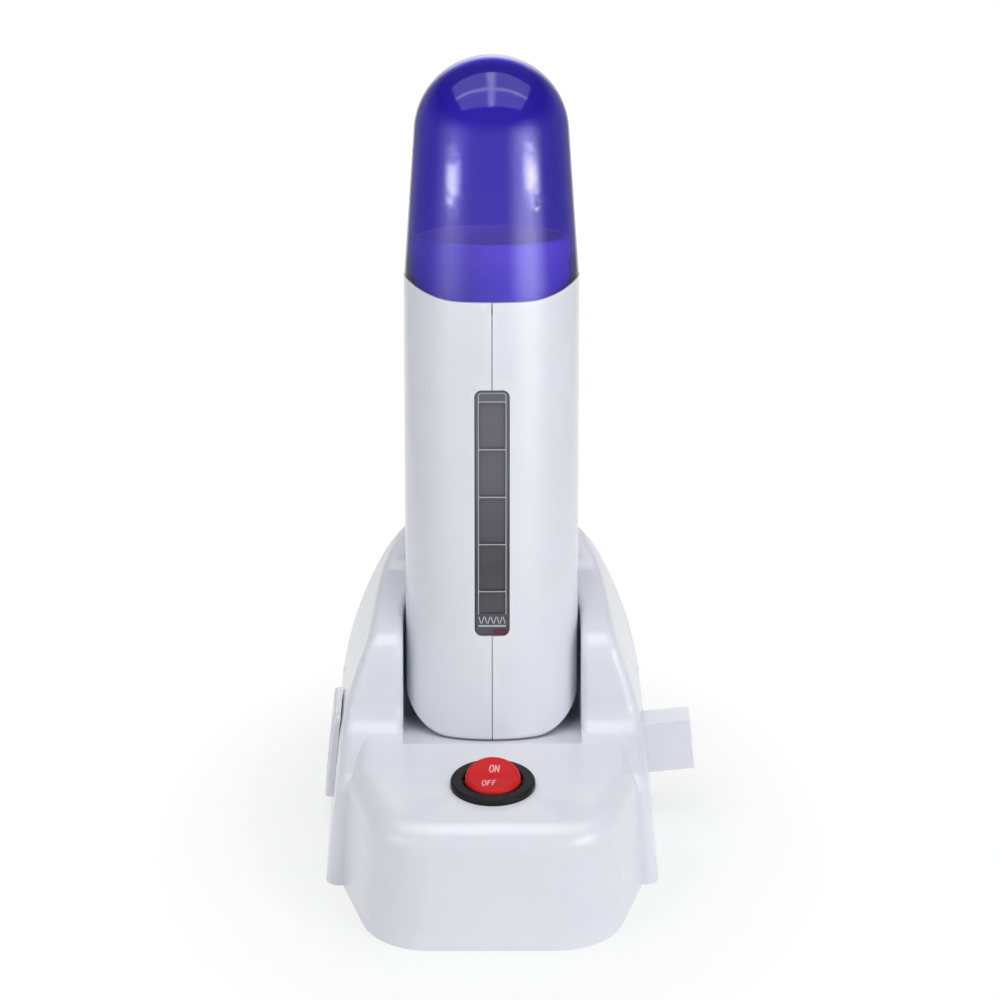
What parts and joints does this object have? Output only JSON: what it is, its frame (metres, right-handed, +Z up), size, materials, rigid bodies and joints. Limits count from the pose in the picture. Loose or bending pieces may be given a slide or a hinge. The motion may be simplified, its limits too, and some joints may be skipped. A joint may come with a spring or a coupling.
{
  "type": "roll on wax heater",
  "caption": "White roll-on wax warmer: a slim oval handpiece with a window and a translucent cap leans back in a mains base with a round rocker switch.",
  "frame": {"origin": "middle of the housing's rest face, under the front of the handpiece's pocket", "axes": "+X to the right, +Y to the back, +Z up"},
  "size_m": [0.1045, 0.1225, 0.215],
  "materials": {
    "white_shell": "smooth gloss, faint cool tint",
    "plate_white": "fine spark texture",
    "cap_violet": "translucent, high gloss",
    "window_smoke": "smoke tinted, gloss",
    "rocker_red": "gloss",
    "switch_black": "satin",
    "pad_rubber": "matte",
    "steel": "zinc plated",
    "brass": "bright",
    "well_aluminium": "drawn, satin",
    "ceramic": "fired ceramic",
    "black_resin": "moulded",
    "board_green": "solder mask",
    "lamp_red": "tinted, gloss",
    "resistor_tan": "lacquered",
    "lead_brown": "insulation",
    "lead_blue": "insulation"
  },
  "bodies": {
    "base": {"base_housing": "white_shell", "base_plate": "plate_white", "base_plate_screws": "steel", "anti_slip_pads": "pad_rubber", "switch_body": "switch_black", "rocker_pin": "switch_black", "switch_common_terminal": "brass", "switch_load_terminal": "brass", "dock_block": "white_shell", "dock_pins": "brass", "inlet_shroud": "white_shell", "inlet_pins": "brass", "link_socket": "white_shell", "link_contacts": "brass", "bus_lead_live": "lead_brown", "bus_lead_neutral": "lead_blue", "lead_to_switch": "lead_brown", "lead_from_switch": "lead_brown", "lead_dock_neutral": "lead_blue"},
    "rocker": {"rocker": "rocker_red", "rocker_plunger": "black_resin", "rocker_spring": "steel"},
    "contact": {"contact_arm": "brass"},
    "handpiece": {"shell_left": "white_shell", "shell_right": "white_shell", "shell_screw": "steel", "neck_collar": "white_shell", "window_lens": "window_smoke", "cartridge_well": "well_aluminium", "heater_saddle": "well_aluminium", "ptc_heater": "ceramic", "heater_clip": "steel", "thermostat": "black_resin", "thermal_fuse": "ceramic", "contact_carrier": "plate_white", "contact_sleeves": "brass", "lamp_board": "board_green", "indicator_lamp": "lamp_red", "lamp_resistor": "resistor_tan", "lead_to_fuse": "lead_blue", "lead_to_thermostat": "lead_brown"},
    "cap": {"cap": "cap_violet"}
  },
  "joints": [
    {"name": "handpiece_lift", "type": "slide", "parent": "base", "child": "handpiece", "axis": [0, 0.2079, 0.9781], "range_m": [0, 0.08]},
    {"name": "cap_pull", "type": "slide", "parent": "handpiece", "child": "cap", "axis": [0, 0.2079, 0.9781], "range_m": [0, 0.07]},
    {"name": "rocker_tilt", "type": "hinge", "parent": "base", "child": "rocker", "pos_m": [0, -0.034, 0.0364], "axis": [-1, 0, 0], "range_deg": [0, 24]},
    {"name": "contact_tilt", "type": "hinge", "parent": "base", "child": "contact", "pos_m": [0, -0.034, 0.02684], "axis": [-1, 0, 0], "range_deg": [-16, 0]}
  ],
  "couplings": [
    {"joint": "contact_tilt", "follows": "rocker_tilt", "ratio": -0.6666}
  ]
}
